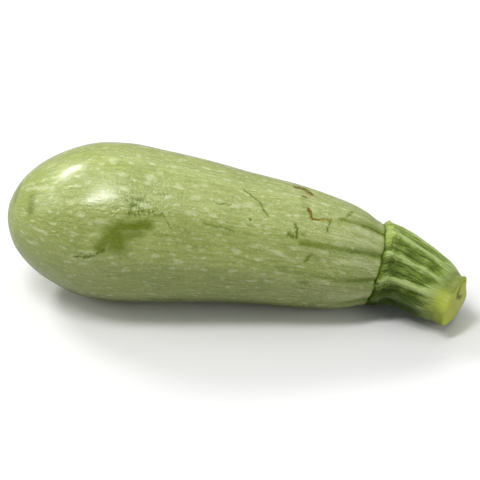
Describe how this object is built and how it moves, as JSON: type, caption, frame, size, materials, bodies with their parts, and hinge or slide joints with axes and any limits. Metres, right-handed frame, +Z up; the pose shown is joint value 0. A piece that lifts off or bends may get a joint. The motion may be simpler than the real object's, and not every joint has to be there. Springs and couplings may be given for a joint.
{
  "type": "courgette",
  "caption": "Pale green courgette lying on its side: a smooth bulb-ended fruit that narrows to a ribbed, bent stem stub with a cut end.",
  "frame": {"origin": "on the surface that it lies on, under the middle of its box", "axes": "+Z up, +X from the blossom end towards the cut stem"},
  "size_m": [0.165, 0.0572, 0.0561],
  "materials": {
    "fruit_skin": "smooth waxy skin, pale green with paler flecks, glossy on the bulb and dusty near the stem",
    "stem_skin": "ribbed green stalk, pale crests over dark grooves, satin, yellow-green at the cut end"
  },
  "bodies": {
    "root": {"fruit": "fruit_skin", "stem": "stem_skin"}
  },
  "joints": []
}
